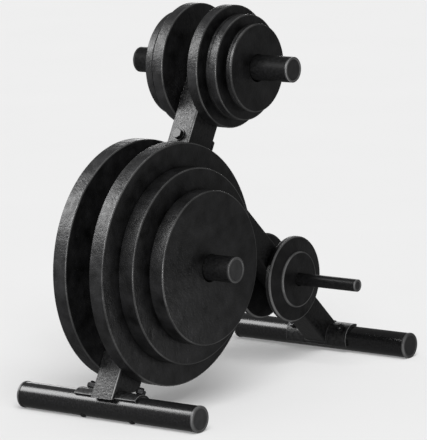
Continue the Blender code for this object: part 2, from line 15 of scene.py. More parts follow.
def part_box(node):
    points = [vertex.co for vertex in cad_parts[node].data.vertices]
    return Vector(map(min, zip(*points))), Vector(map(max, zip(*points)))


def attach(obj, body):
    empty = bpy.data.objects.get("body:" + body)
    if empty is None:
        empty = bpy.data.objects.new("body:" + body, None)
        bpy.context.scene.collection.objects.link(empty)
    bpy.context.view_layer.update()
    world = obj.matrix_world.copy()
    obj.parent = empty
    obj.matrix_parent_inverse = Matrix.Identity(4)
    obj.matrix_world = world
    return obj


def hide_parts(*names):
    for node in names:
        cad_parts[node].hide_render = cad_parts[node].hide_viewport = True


bl_info = {
    "name": "Weight Plate Tree",
    "version": (1, 0, 0),
    "blender": (4, 5, 0),
    "location": "3D View > Sidebar > Plate Tree",
    "description": "Dresses a weight plate tree and the plates on its pegs",
    "category": "Object",
}

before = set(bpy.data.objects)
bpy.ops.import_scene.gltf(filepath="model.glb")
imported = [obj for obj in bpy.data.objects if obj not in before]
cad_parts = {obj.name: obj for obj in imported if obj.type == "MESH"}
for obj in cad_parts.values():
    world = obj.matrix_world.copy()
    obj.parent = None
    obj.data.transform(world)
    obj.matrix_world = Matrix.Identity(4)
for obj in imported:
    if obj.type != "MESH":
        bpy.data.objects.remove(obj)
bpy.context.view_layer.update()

# The photograph's size and the camera's film
IMAGE_SIZE = (427, 440)
SENSOR_WIDTH = 36.0

SIDES = {"left": -1, "right": 1}
STAND_BODY = "frame"
COLLECTION = "Plate Tree"

# Geometry node trees
TURNED_PIECE = "Turned Piece"
MIRRORED_PAIR = "Mirrored Pair"
WELD_BEAD = "Weld Bead"

# Attributes of meshes
ROUNDING = "rounding"  # of a profile: how far a corner is rounded
ALONG_PEG = "along_peg"  # of a turned piece: its own axis as Z, before it is placed
WORN_AND_HIGHLIT = "worn"  # of any piece: 1 where an edge's coating is rubbed thin and painted lighter, partly as painted highlight

# Worn corners of a profile, painted lighter: partly wear, partly painted highlight
LEAST_WORN_HIGHLIT_ROUNDING = 0.0008
WEAR_AND_HIGHLIGHT_WIDTH = 0.0003  # how far the wear and its painted highlight reach past the rounding
SHOULDER_ROOM = 3  # a side longer than this many roundings gets a point where its wear ends
ALL_HEIGHTS = (-1.0, 1.0)  # wide enough for any profile
PLATE_BACK = 0.004  # edges of a plate up to this height belong to its back

# Edges of meshes
SHARP_ANGLE = math.radians(35)  # faces that meet at a greater angle have a sharp edge
FLAT_ANGLE = math.radians(1)  # CAD faces that differ by less are joined
SLIVER = 0.0002  # CAD points nearer than this are merged
SEAM = 0.00001  # points of a turned piece nearer than this are merged

# The strip in the middle of a tube's rounded corner, marked worn so it is painted lighter: a painted
# highlight line along the corner
STRIP_LENGTH = 0.1  # at least
STRIP_WIDTH = 0.004  # at most
STRIP_SLANT = (0.4, 0.9)  # range of its normal's X, either way

# Small roundings
WASHER_BORE_ROUNDING = 0.0003
FINE_ROUNDING = 0.0004  # a tube's end, a washer's rim, a groove's bottom, a cap's back
CUT_ROUNDING = 0.0006  # a bore, a groove's edges, a hub's foot
MOULDED_ROUNDING = 0.0007  # a cap's plug and its sunk face
CAP_RIM_ROUNDING = 0.0008  # the inside of a cap's rim
PEG_CAP_EDGE = 0.0015
HUB_ROUNDING = 0.0024
HUB_PLATE_EDGE = 0.0028

# Caps, pegs and hubs
CAP_GAP = 0.0003  # between a cap and its tube
CAP_SINK = 0.0012  # depth of a cap's face inside its rim
CAP_RIM = 0.0022  # width of a cap's rim inside its rounding
LOW_PEG_WALL = 0.002
HUB_TAPER = 0.001  # how much wider a hub's foot is

# Nuts, bolts and washers
BOLT_STEPS = 32
HEXAGON_STEPS = 48
WASHER_STEPS = 48
HALF_SIDE = math.pi / 6  # angle of half a hexagon's side
CHAMFER_START = 0.95  # share of half the width across the flats
CHAMFER_ANGLE = math.radians(30)
SADDLE_PITCH = 0.0015
STRUT_PITCH = 0.00175
STRUT_BOLT_RADIUS = 0.006
STRUT_NUT_ACROSS = 0.018
STRUT_NUT_BORE = 0.0062  # radius
WASHER_BORE = 0.0065  # radius
# Points of a saddle bolt's round head: share of its radius, height over its lowest point, rounding
ROUND_HEAD = ((0.0, 0.0004, 0.0), (0.4, 0.0006, 0.002), (0.8, 0.0015, 0.003))

# Welds
DROP_SIZES = (0.42, 0.54)  # least and greatest radius, as shares of the bead's width
DROP_SPACING = 0.45  # a share of it too
WELD_SEED = 5
POST_WELD_REACH = 60  # degrees to each side of the post's own direction
POST_WELD_STEP = 4  # degrees
STRUT_WELD_STEPS = 8  # to each side of the strut's own direction

# Grooves round the rims of the light plates: start, end and depth
LIGHT_GROOVE = (0.006, 0.009, 0.0012)
LIGHTEST_GROOVE = (0.006, 0.008, 0.001)

# The plain plates, each with its groove
PLAIN_PLATES = {
    "large_plate_left": None,
    "large_plate_right": None,
    "broad_plate_right": None,
    "medium_plate_right": None,
    "small_plate_left": None,
    "small_plate_right": None,
    "light_plate_left": LIGHT_GROOVE,
    "light_plate_right": LIGHT_GROOVE,
    "lightest_plate_right": LIGHTEST_GROOVE,
}

# The range that noise mostly keeps to
NOISE_LOW = 0.3
NOISE_HIGH = 0.7

# A mix node's two inputs and its output, for each kind of value
MIX_SOCKETS = {"FLOAT": (2, 3, 0), "RGBA": (6, 7, 2)}

# What the camera looks at, from the front foot's middle
CAMERA_AIM = (0.11356, 0.180, 0.32515)

# What the softboxes are aimed at, and each one's direction from it, distance, size and power
STAND_MIDDLE = (0, 0.05, 0.35)
SOFTBOXES = (
    ("Key softbox", (-1.85, -1.24, 1.56), 2.72, (1.3, 1.3), 58.0),
    ("Front softbox", (-0.25, -0.7, 0.6), 2.7, (1.3, 1.3), 23.0),
    ("Low softbox", (-0.62, 0.76, 0.2), 3.0, (1.4, 0.9), 13.0),
    ("Fill softbox", (0.35, -0.93, 0.1), 3.0, (1.2, 1.2), 30.0),
    ("Bounce panel", (0.55, -0.12, -0.29), 0.63, (0.4, 0.1), 0.34),
)

# Lights of the floor alone: direction, strength and width in degrees
FLOOR_LIGHTS = (
    ("Overhead light", (0.55, -0.55, 1.0), 2.12, 40),
    ("Ceiling light", (0.0, 0.0, 1.0), 1.24, 60),
)


def length(name, description, default):
    return FloatProperty(name=name, description=description, default=default, min=0.0, unit="LENGTH")


def color(name, description, default):
    return FloatVectorProperty(
        name=name, description=description, default=default, min=0.0, max=1.0, subtype="COLOR"
    )


class PlateTreeSettings(bpy.types.PropertyGroup):
    """Sizes and colours of the weight plate tree's looks."""

    paint_color: color("Paint", "Powder coat of the stand", (0.013, 0.013, 0.0135))
    coating_color: color("Plates", "Coating of the weight plates", (0.012, 0.012, 0.0125))
    cap_color: color("Caps", "Plastic of the end caps", (0.046, 0.046, 0.047))
    zinc_color: color("Zinc", "Plating of the saddle bolts", (0.08, 0.08, 0.082))
    floor_color: color("Floor", "Floor and background", (0.8, 0.8, 0.8))
    plate_steps: IntProperty(
        name="Plate Steps", description="Sides of a turned plate", default=144, min=24, max=256
    )
    tube_steps: IntProperty(
        name="Tube Steps", description="Sides of a turned tube or cap", default=72, min=16, max=256
    )
    wide_bore: length("Wide Bore", "Bore radius of the large plates", 0.0258)
    narrow_bore: length("Narrow Bore", "Bore radius of the plates with a hub", 0.013)
    plate_edge: length("Plate Edge", "Rounding of a plate's rim", 0.0022)
    hub_radius: length("Hub Radius", "Radius of a plate's raised hub", 0.054)
    hub_side: length("Hub Side", "Height of the side of a plate's hub", 0.005)
    hub_slope: length("Hub Slope", "Rise of the face from the rim to the hub", 0.006)
    tube_wall: length("Tube Wall", "Wall of the feet and the pegs", 0.0025)
    cap_edge: length("Cap Edge", "Rounding of an end cap", 0.0025)
    sheet_edge: length("Sheet Edge", "Bevel of a cut sheet's or tube's edges", 0.0006)
    post_cap_edge: length("Post Cap Edge", "Bevel of the post's cap", 0.0008)
    nut_across: length("Nut", "Width across the flats of a saddle nut", 0.016)
    bolt_radius: length("Bolt", "Radius of a saddle bolt", 0.005)
    weld_width: length("Weld", "Width of a weld bead", 0.004)


def settings():
    return bpy.context.scene.plate_tree


# Frame


def centre(node):
    low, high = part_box(node)
    return (Vector(low) + Vector(high)) / 2


def radius_of(node):
    low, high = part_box(node)
    return (high[1] - low[1]) / 2


def leg_frame(foot, peg):
    """A leg's own frame: its origin on the foot's axis, and its Z towards a peg on that leg."""
    origin = centre(f"{foot}_foot_tube")
    side = Vector((1, 0, 0))
    up = centre(f"{peg}_peg_tube") - origin
    up.x = 0
    up.normalize()
    turn = Matrix((side, up.cross(side), up)).transposed().to_4x4()
    return Matrix.Translation((0, origin.y, origin.z)) @ turn


# Geometry node trees


def new_tree(name, inputs):
    """A tree with one geometry in and out, and further inputs given as (name, socket type, value)."""
    tree = bpy.data.node_groups.new(name, "GeometryNodeTree")
    tree.interface.new_socket("Geometry", in_out="INPUT", socket_type="NodeSocketGeometry")
    tree.interface.new_socket("Geometry", in_out="OUTPUT", socket_type="NodeSocketGeometry")
    for title, kind, value in inputs:
        socket = tree.interface.new_socket(title, in_out="INPUT", socket_type=kind)
        if value is not None:
            socket.default_value = value
    return tree, tree.nodes.new("NodeGroupInput").outputs


def set_inputs(tree, node, inputs):
    """Each input gets a value, or a link from another node's output."""
    for socket, value in inputs.items():
        if isinstance(value, bpy.types.NodeSocket):
            tree.links.new(value, node.inputs[socket])
        else:
            node.inputs[socket].default_value = value


def add_node(tree, kind, inputs=None, **options):
    """A node with its options and its inputs set."""
    node = tree.nodes.new(kind)
    for option, value in options.items():
        setattr(node, option, value)
    set_inputs(tree, node, inputs or {})
    return node


def end_tree(tree, geometry, material):
    """Every tree ends in real geometry with its material."""
    real = add_node(tree, "GeometryNodeRealizeInstances", {"Geometry": geometry})
    painted = add_node(tree, "GeometryNodeSetMaterial", {"Geometry": real.outputs[0], "Material": material})
    add_node(tree, "NodeGroupOutput", {"Geometry": painted.outputs[0]})


def turning_tree():
    """Rounds the corners of a profile in the XZ plane and turns it round Z."""
    path_radius = 0.1
    tree, given = new_tree(
        TURNED_PIECE,
        [
            ("Steps", "NodeSocketInt", 72),
            ("Corner Steps", "NodeSocketInt", 4),
            ("Material", "NodeSocketMaterial", None),
        ],
    )
    rounding = add_node(
        tree, "GeometryNodeInputNamedAttribute", {"Name": ROUNDING}, data_type="FLOAT"
    )
    curve = add_node(tree, "GeometryNodeMeshToCurve", {"Mesh": given["Geometry"]})
    rounded = add_node(
        tree,
        "GeometryNodeFilletCurve",
        {
            "Curve": curve.outputs[0],
            "Count": given["Corner Steps"],
            "Radius": rounding.outputs["Attribute"],
            "Limit Radius": True,
        },
        mode="POLY",
    )
    # The sweep takes a profile in its own XY plane, counted from the path
    flat = add_node(
        tree,
        "GeometryNodeTransform",
        {
            "Geometry": rounded.outputs[0],
            "Translation": (-path_radius, 0, 0),
            "Rotation": (math.pi / 2, 0, 0),
        },
    )
    path = add_node(
        tree, "GeometryNodeCurvePrimitiveCircle", {"Resolution": given["Steps"], "Radius": path_radius}
    )
    swept = add_node(
        tree, "GeometryNodeCurveToMesh", {"Curve": path.outputs[0], "Profile Curve": flat.outputs[0]}
    )
    welded = add_node(
        tree, "GeometryNodeMergeByDistance", {"Geometry": swept.outputs[0], "Distance": SEAM}
    )
    position = add_node(tree, "GeometryNodeInputPosition")
    stored = add_node(
        tree,
        "GeometryNodeStoreNamedAttribute",
        {"Geometry": welded.outputs[0], "Name": ALONG_PEG, "Value": position.outputs[0]},
        data_type="FLOAT_VECTOR",
        domain="POINT",
    )
    end_tree(tree, stored.outputs[0], given["Material"])


def pair_tree():
    """Repeats a piece at both sides of the middle, along X."""
    tree, given = new_tree(
        MIRRORED_PAIR, [("Offset", "NodeSocketFloat", 0.05), ("Material", "NodeSocketMaterial", None)]
    )
    twice = add_node(tree, "ShaderNodeMath", {0: given["Offset"], 1: -2.0}, operation="MULTIPLY")
    start = add_node(tree, "ShaderNodeCombineXYZ", {"X": given["Offset"]})
    step = add_node(tree, "ShaderNodeCombineXYZ", {"X": twice.outputs[0]})
    places = add_node(
        tree,
        "GeometryNodeMeshLine",
        {"Count": 2, "Start Location": start.outputs[0], "Offset": step.outputs[0]},
        mode="OFFSET",
    )
    copies = add_node(
        tree, "GeometryNodeInstanceOnPoints", {"Points": places.outputs[0], "Instance": given["Geometry"]}
    )
    end_tree(tree, copies.outputs[0], given["Material"])


def add_object(name, data):
    thing = bpy.data.objects.new(name, data)
    bpy.context.scene.collection.objects.link(thing)
    return thing


def run_tree(mesh, name, values):
    """Gives the mesh that the geometry tree of that name makes from this one."""
    tree = bpy.data.node_groups[name]
    carrier = add_object(name, mesh)
    modifier = carrier.modifiers.new(name, "NODES")
    modifier.node_group = tree
    for item in tree.interface.items_tree:
        if item.in_out == "INPUT" and item.name in values:
            modifier[item.identifier] = values[item.name]
    bpy.context.view_layer.update()
    graph = bpy.context.evaluated_depsgraph_get()
    made = bpy.data.meshes.new_from_object(carrier.evaluated_get(graph), depsgraph=graph)
    bpy.data.objects.remove(carrier, do_unlink=True)
    return made


# Meshes


def mesh_from(shape, name):
    mesh = bpy.data.meshes.new(name)
    shape.to_mesh(mesh)
    shape.free()
    return mesh


def with_shoulders(points, closed, worn_highlit_heights):
    """Adds a point at each side of a worn corner, so that its wear ends there.

    Gives each point's place, rounding and wear.
    """
    lowest, highest = worn_highlit_heights
    marked = []
    count = len(points)
    for index, (radius, height, corner) in enumerate(points):
        here = Vector((radius, height))
        worn = corner >= LEAST_WORN_HIGHLIT_ROUNDING and lowest <= height <= highest
        sides = []
        for step in (-1, 1):
            other = index + step
            if worn and (closed or 0 <= other < count):
                there = Vector(points[other % count][:2]) - here
                if there.length > SHOULDER_ROOM * corner:
                    sides.append((step, here + there.normalized() * (corner + WEAR_AND_HIGHLIGHT_WIDTH)))
        marked += [(place, 0.0, 0.0) for step, place in sides if step < 0]
        marked.append((here, corner, float(worn)))
        marked += [(place, 0.0, 0.0) for step, place in sides if step > 0]
    return marked


def profile_mesh(points, closed, worn_highlit_heights):
    """A profile in the XZ plane, from points (radius, height, rounding of that corner)."""
    shape = bmesh.new()
    rounding = shape.verts.layers.float.new(ROUNDING)
    wear = shape.verts.layers.float.new(WORN_AND_HIGHLIT)
    verts = []
    for place, corner, worn in with_shoulders(points, closed, worn_highlit_heights):
        vert = shape.verts.new((place.x, 0, place.y))
        vert[rounding] = corner
        vert[wear] = worn
        verts.append(vert)
    for first, second in zip(verts, verts[1:]):
        shape.edges.new((first, second))
    if closed:
        shape.edges.new((verts[-1], verts[0]))
    return mesh_from(shape, "profile")


def turned_mesh(points, steps, material, closed=False, corner_steps=4, worn_highlit_heights=ALL_HEIGHTS):
    """A turned piece from its profile. Rounded corners are marked worn where their height is in that range:
    painted lighter, partly as painted highlight.
    """
    values = {"Steps": steps, "Corner Steps": corner_steps, "Material": material}
    profile = profile_mesh(points, closed, worn_highlit_heights)
    return run_tree(profile, TURNED_PIECE, values)


def edit_mesh(mesh, change):
    shape = bmesh.new()
    shape.from_mesh(mesh)
    change(shape)
    shape.to_mesh(mesh)
    shape.free()


def face_outward(shape):
    bmesh.ops.recalc_face_normals(shape, faces=shape.faces)
    if shape.calc_volume(signed=True) < 0:
        bmesh.ops.reverse_faces(shape, faces=shape.faces)


def finish_piece(name, mesh, place, material, body, nodes):
    """Places a mesh, and makes it the piece that stands for these CAD nodes."""
    mesh.transform(place)
    edit_mesh(mesh, face_outward)
    mesh.name = name
    mesh.materials.clear()
    mesh.materials.append(material)
    mesh.shade_smooth()
    mesh.set_sharp_from_angle(angle=SHARP_ANGLE)
    piece = bpy.data.objects.new(name, mesh)
    bpy.data.collections[COLLECTION].objects.link(piece)
    smooth = piece.modifiers.new("Flat faces stay flat", "WEIGHTED_NORMAL")
    smooth.keep_sharp = True
    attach(piece, body)
    if nodes:
        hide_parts(*nodes)


def along_x(node, side, along):
    """The place of a turned piece on a node's axis: its Z points outward on that side, from x = along."""
    middle = centre(node)
    turn = Matrix.Rotation(side * math.pi / 2, 4, "Y")
    return Matrix.Translation((along, middle.y, middle.z)) @ turn


def inner_end(node, side):
    """The X of a node's end that is nearer to the stand's middle."""
    low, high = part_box(node)
    return low[0] if side > 0 else high[0]


def depth_of(node):
    low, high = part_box(node)
    return high[0] - low[0]


def span(node, place):
    """The lowest and highest corner of a node as seen in a leg's frame."""
    away = place.inverted()
    points = [away @ vert.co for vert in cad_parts[node].data.vertices]
    low = Vector([min(point[axis] for point in points) for axis in range(3)])
    high = Vector([max(point[axis] for point in points) for axis in range(3)])
    return low, high


def sharp_edges(shape):
    return [
        line
        for line in shape.edges
        if len(line.link_faces) == 2 and line.calc_face_angle() > SHARP_ANGLE
    ]


def corner_strips(shape):
    """The long thin faces in the middle of a tube's rounded corners, which look out at a slant."""
    least, most = STRIP_SLANT
    strips = []
    for face in shape.faces:
        longest = max(line.calc_length() for line in face.edges)
        thin = longest > STRIP_LENGTH and face.calc_area() / longest < STRIP_WIDTH
        if thin and least < abs(face.normal.x) < most:
            strips.append(face)
    return strips


def softened_copy(node, edge, worn_highlit_corners=False):
    """A copy of a node's mesh with its slivers merged, its flat faces joined and its edges softened."""
    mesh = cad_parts[node].data.copy()

    def soften(shape):
        bmesh.ops.remove_doubles(shape, verts=shape.verts, dist=SLIVER)
        bmesh.ops.dissolve_limit(shape, angle_limit=FLAT_ANGLE, verts=shape.verts, edges=shape.edges)
        # A whole face round a tube's end would get triangles across the opening
        bmesh.ops.connect_verts_concave(shape, faces=shape.faces)
        wear = shape.faces.layers.float.new(WORN_AND_HIGHLIT)
        rounded = bmesh.ops.bevel(
            shape,
            geom=sharp_edges(shape),
            offset=edge,
            offset_type="OFFSET",
            segments=2,
            profile=0.5,
            affect="EDGES",
            clamp_overlap=False,
        )
        # Bevels, and the corner strips when asked, are marked worn: painted lighter, partly as wear and
        # partly as painted highlight
        for face in rounded["faces"] + (corner_strips(shape) if worn_highlit_corners else []):
            face[wear] = 1.0

    edit_mesh(mesh, soften)
    return mesh


def lofted_mesh(rings, closed):
    """Joins rings of points in order. The last ring meets the first one, or else both ends are closed."""
    shape = bmesh.new()
    rows = [[shape.verts.new(point) for point in ring] for ring in rings]
    pairs = list(zip(rows, rows[1:]))
    if closed:
        pairs.append((rows[-1], rows[0]))
    for lower, upper in pairs:
        for index in range(len(lower)):
            after = (index + 1) % len(lower)
            shape.faces.new((lower[index], lower[after], upper[after], upper[index]))
    if not closed:
        shape.faces.new(rows[0])
        shape.faces.new(rows[-1])
    return mesh_from(shape, "lofted")


def hexagon_mesh(across, low, high, bore=0.0):
    """A nut, or a bolt's head if it has no bore: a hexagon with its corners cut to a cone at both ends."""
    flat = across / 2
    chamfer_start = flat * CHAMFER_START
    turns = [2 * math.pi * index / HEXAGON_STEPS for index in range(HEXAGON_STEPS)]
    reach = [flat / math.cos((turn + HALF_SIDE) % (2 * HALF_SIDE) - HALF_SIDE) for turn in turns]
    cut = [(radius - chamfer_start) * math.tan(CHAMFER_ANGLE) for radius in reach]

    def circle(radius, height):
        return [(radius * math.cos(turn), radius * math.sin(turn), height) for turn in turns]

    def outline(heights):
        return [
            (radius * math.cos(turn), radius * math.sin(turn), height)
            for turn, radius, height in zip(turns, reach, heights)
        ]

    rings = [
        circle(chamfer_start, low),
        outline([low + depth for depth in cut]),
        outline([high - depth for depth in cut]),
        circle(chamfer_start, high),
    ]
    if bore:
        rings = [circle(bore, low)] + rings + [circle(bore, high)]
    return lofted_mesh(rings, closed=bool(bore))


def joined(meshes):
    shape = bmesh.new()
    for mesh in meshes:
        shape.from_mesh(mesh)
    return mesh_from(shape, "joined")


def thread_profile(radius, low, high, pitch):
    """The side of a threaded shaft, from low to high: its crests and its grooves."""
    flank = 0.4 * pitch
    groove = 0.55 * pitch
    end_height = 0.6 * pitch
    end_depth = 0.5 * pitch
    points = [(radius, low, 0.0)]
    turns = int((high - low - pitch) / pitch)
    for index in range(turns):
        height = high - pitch * (turns - index)
        points += [(radius, height - flank, 0.0), (radius - groove, height, 0.0)]
    points += [(radius, high - end_height, 0.0), (radius - end_depth, high, 0.0), (0, high, 0.0)]
    return points


# Materials


def new_material(name):
    """A new material's node tree and its shader."""
    material = bpy.data.materials.new(name)
    material.use_nodes = True
    tree = material.node_tree
    tree.nodes.clear()
    shader = add_node(tree, "ShaderNodeBsdfPrincipled")
    add_node(tree, "ShaderNodeOutputMaterial", {"Surface": shader.outputs[0]})
    return tree, shader


def object_noise(tree, size, detail=2.0, stretch=None, source=None):
    """Noise whose grains are of that size in metres."""
    if source is None:
        source = add_node(tree, "ShaderNodeTexCoord").outputs["Object"]
    if stretch is not None:
        source = add_node(tree, "ShaderNodeMapping", {"Vector": source, "Scale": stretch}).outputs[0]
    return add_node(
        tree, "ShaderNodeTexNoise", {"Vector": source, "Scale": 1.0 / size, "Detail": detail}
    ).outputs["Fac"]


def between(tree, amount, low, high, start=NOISE_LOW, end=NOISE_HIGH):
    """A value that goes from low to high as the amount goes from start to end."""
    return add_node(
        tree,
        "ShaderNodeMapRange",
        {"Value": amount, "From Min": start, "From Max": end, "To Min": low, "To Max": high},
    ).outputs["Result"]


def tinted(tree, amount, color_value, darker, lighter):
    """A colour that the amount makes darker or lighter."""
    ramp = add_node(tree, "ShaderNodeValToRGB", {"Fac": amount})
    places = (NOISE_LOW, NOISE_HIGH)
    for stop, factor, place in zip(ramp.color_ramp.elements, (darker, lighter), places):
        stop.position = place
        stop.color = [min(1.0, channel * factor) for channel in color_value] + [1.0]
    return ramp.outputs["Color"]


def wear_and_highlight_amount(tree):
    """How far the coating is rubbed thin, and how much painted highlight its edges get: on worn edges alone,
    and there in patches.
    """
    wear = add_node(tree, "ShaderNodeAttribute", attribute_name=WORN_AND_HIGHLIT).outputs["Fac"]
    noise = object_noise(tree, size=0.07, detail=3.0)
    patches = between(tree, noise, 0.3, 1.0, start=0.38, end=0.62)
    return add_node(tree, "ShaderNodeMath", {0: wear, 1: patches}, operation="MULTIPLY").outputs[0]


def where_worn_and_highlit(tree, kind, plain, worn):
    """A number or a colour, and another one where the coating is worn and its edges carry painted highlight.
    """
    first, second, result = MIX_SOCKETS[kind]
    inputs = {"Factor": wear_and_highlight_amount(tree), first: plain, second: worn}
    return add_node(tree, "ShaderNodeMix", inputs, data_type=kind).outputs[result]


def with_wear_and_highlight(tree, base, worn_highlight_gray):
    """The base colour, with a lighter one where the coating is worn: partly wear, partly painted highlight on
    the edges.
    """
    return where_worn_and_highlit(tree, "RGBA", base, (worn_highlight_gray, worn_highlight_gray, worn_highlight_gray, 1.0))


def polished(tree, roughness, worn_roughness):
    """The roughness, with a lower one where the coating is worn."""
    return where_worn_and_highlit(tree, "FLOAT", roughness, worn_roughness)


def bumped(tree, height, depth, under=None):
    inputs = {"Height": height, "Distance": depth, "Strength": 1.0}
    if under is not None:
        inputs["Normal"] = under
    return add_node(tree, "ShaderNodeBump", inputs).outputs["Normal"]


def paint_material(name, color_value, roughness, unevenness, grain_depth, shine=0.5):
    """Powder coat: a grain over a slow mottling."""
    tree, shader = new_material(name)
    spread = 0.3 + unevenness * 4
    grain = object_noise(tree, size=0.004)
    cloud = object_noise(tree, size=0.012, detail=3.0)
    slow = bumped(tree, cloud, grain_depth)
    tint = tinted(tree, grain, color_value, darker=1 - spread, lighter=1 + spread * 1.5)
    inputs = {
        # Worn edges are painted lighter: partly wear, partly a painted highlight along the edges and the
        # post's corners
        "Base Color": with_wear_and_highlight(tree, tint, worn_highlight_gray=0.5),
        "Roughness": between(tree, grain, roughness - unevenness, roughness + unevenness),
        "Normal": bumped(tree, grain, grain_depth, slow),
        "Specular IOR Level": shine,
    }
    set_inputs(tree, shader, inputs)


def coating_material(name, color_value, roughness, worn_highlight_gray):
    """The plates' satin coating: blotches of gloss, and fine rings left by the turning."""
    tree, shader = new_material(name)
    own = add_node(tree, "ShaderNodeAttribute", attribute_name=ALONG_PEG).outputs["Vector"]
    blotch = object_noise(tree, size=0.016, detail=3.0)
    cloud = object_noise(tree, size=0.03, detail=6.0)
    grain = object_noise(tree, size=0.0032)
    rings = object_noise(tree, size=0.004, stretch=(0.12, 0.12, 3.0), source=own)
    slow = bumped(tree, blotch, depth=0.0014)
    ringed = bumped(tree, rings, depth=0.00004, under=slow)
    tint = tinted(tree, cloud, color_value, darker=0.4, lighter=2.3)
    blotched = between(tree, blotch, roughness - 0.08, roughness + 0.09)
    inputs = {
        # Worn edges are painted lighter: partly wear, partly a painted highlight along the rims
        "Base Color": with_wear_and_highlight(tree, tint, worn_highlight_gray),
        "Roughness": polished(tree, blotched, worn_roughness=0.26),
        "Normal": bumped(tree, grain, depth=0.0005, under=ringed),
        "Specular IOR Level": between(tree, wear_and_highlight_amount(tree), 0.5, 1.0, start=0.0, end=1.0),
    }
    set_inputs(tree, shader, inputs)


def plastic_material(name, color_value):
    """Moulded plastic with a fine matt grain."""
    tree, shader = new_material(name)
    grain = object_noise(tree, size=0.0009, detail=1.0)
    cloud = object_noise(tree, size=0.012)
    tint = tinted(tree, cloud, color_value, darker=0.8, lighter=1.25)
    inputs = {
        # Worn rims of the caps are painted lighter: partly wear, partly a painted highlight ring
        "Base Color": with_wear_and_highlight(tree, tint, worn_highlight_gray=0.3),
        "Roughness": polished(tree, between(tree, cloud, 0.4, 0.5), worn_roughness=0.25),
        "Normal": bumped(tree, grain, depth=0.00006),
        "Specular IOR Level": 0.5,
    }
    set_inputs(tree, shader, inputs)


def zinc_material(name, color_value):
    """Dull zinc plating with small spangles and stains."""
    tree, shader = new_material(name)
    spangle = object_noise(tree, size=0.003, detail=3.0)
    grain = object_noise(tree, size=0.0008)
    inputs = {
        "Base Color": tinted(tree, spangle, color_value, darker=0.7, lighter=1.15),
        "Metallic": 1.0,
        "Roughness": between(tree, spangle, 0.32, 0.48),
        "Normal": bumped(tree, grain, depth=0.00008),
    }
    set_inputs(tree, shader, inputs)


def floor_material(name, color_value):
    """Pale studio paper, a little uneven."""
    tree, shader = new_material(name)
    cloud = object_noise(tree, size=0.4)
    inputs = {
        "Base Color": tinted(tree, cloud, color_value, darker=0.995, lighter=1.005),
        "Roughness": between(tree, cloud, 0.9, 1.0),
        "Specular IOR Level": 0.0,
    }
    set_inputs(tree, shader, inputs)


def material_of(name):
    return bpy.data.materials[name]


PAINT = "Textured powder coat"
SMOOTH_PAINT = "Smooth powder coat"
COATING = "Plate coating"
# The hub plates' coating: its worn edges painted lighter still, as brighter painted highlight
HUB_COATING = "Rubbed and highlit plate coating"
SLEEVE = "Peg coat"
CAPS = "Cap plastic"
ZINC = "Dull zinc"
BOLT_PAINT = "Painted bolt"
FLOOR = "Studio floor"


def make_materials():
    sizes = settings()
    paint = sizes.paint_color
    paint_material(PAINT, paint, roughness=0.42, unevenness=0.1, grain_depth=0.0007)
    paint_material(SMOOTH_PAINT, paint, roughness=0.24, unevenness=0.012, grain_depth=0.00001)
    paint_material(SLEEVE, paint, roughness=0.42, unevenness=0.03, grain_depth=0.00004, shine=0.25)
    paint_material(BOLT_PAINT, paint, roughness=0.36, unevenness=0.03, grain_depth=0.00005)
    # The plates' lighter edges are partly painted highlight; the hub plates get a lighter copy for brighter
    # painted highlights
    coating_material(COATING, sizes.coating_color, roughness=0.42, worn_highlight_gray=0.12)
    coating_material(HUB_COATING, sizes.coating_color, roughness=0.42, worn_highlight_gray=0.38)
    plastic_material(CAPS, sizes.cap_color)
    zinc_material(ZINC, sizes.zinc_color)
    floor_material(FLOOR, sizes.floor_color)


# Pieces


def cap_profile(radius, flange, plug_radius, plug_depth, edge, rim):
    """An end cap in profile, with the tube's end at height 0. Its face is sunk a little inside its rim."""
    return [
        (0, -plug_depth, 0),
        (plug_radius, -plug_depth, MOULDED_ROUNDING),
        (plug_radius, CAP_GAP, 0),
        (radius, CAP_GAP, FINE_ROUNDING),
        (radius, flange, edge),
        (radius - rim, flange, CAP_RIM_ROUNDING),
        (radius - rim - CAP_SINK, flange - CAP_SINK, MOULDED_ROUNDING),
        (0, flange - CAP_SINK, 0),
    ]


def rest_on_floor(shape):
    for vert in shape.verts:
        vert.co.z = max(vert.co.z, 0.0)


def make_tube_and_caps(tube, caps, wall, edge, coat):
    """A turned tube along X, with a cap at each end."""
    sizes = settings()
    tube_radius = radius_of(tube)
    low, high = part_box(tube)
    half = (high[0] - low[0]) / 2
    profile = [
        (tube_radius, -half, FINE_ROUNDING),
        (tube_radius, half, FINE_ROUNDING),
        (tube_radius - wall, half, FINE_ROUNDING),
        (tube_radius - wall, -half, FINE_ROUNDING),
    ]
    paint = material_of(coat)
    mesh = turned_mesh(profile, sizes.tube_steps, paint, closed=True, corner_steps=2)
    place = along_x(tube, 1, centre(tube).x)
    finish_piece(f"{tube}_coated", mesh, place, paint, STAND_BODY, [tube])
    for side_name, side in SIDES.items():
        cap = f"{caps}_{side_name}"
        end = high[0] if side > 0 else low[0]
        outer = radius_of(cap)
        cap_low, cap_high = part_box(cap)
        flange = max(cap_high[0] - high[0], low[0] - cap_low[0])
        plug = (cap_high[0] - cap_low[0]) - flange
        mesh = turned_mesh(
            cap_profile(outer, flange, tube_radius - wall - CAP_GAP, plug, edge, edge + CAP_RIM),
            sizes.tube_steps,
            material_of(CAPS),
            corner_steps=6,
        )
        mesh.transform(along_x(tube, side, end))
        edit_mesh(mesh, rest_on_floor)
        finish_piece(f"{cap}_moulded", mesh, Matrix(), material_of(CAPS), STAND_BODY, [cap])


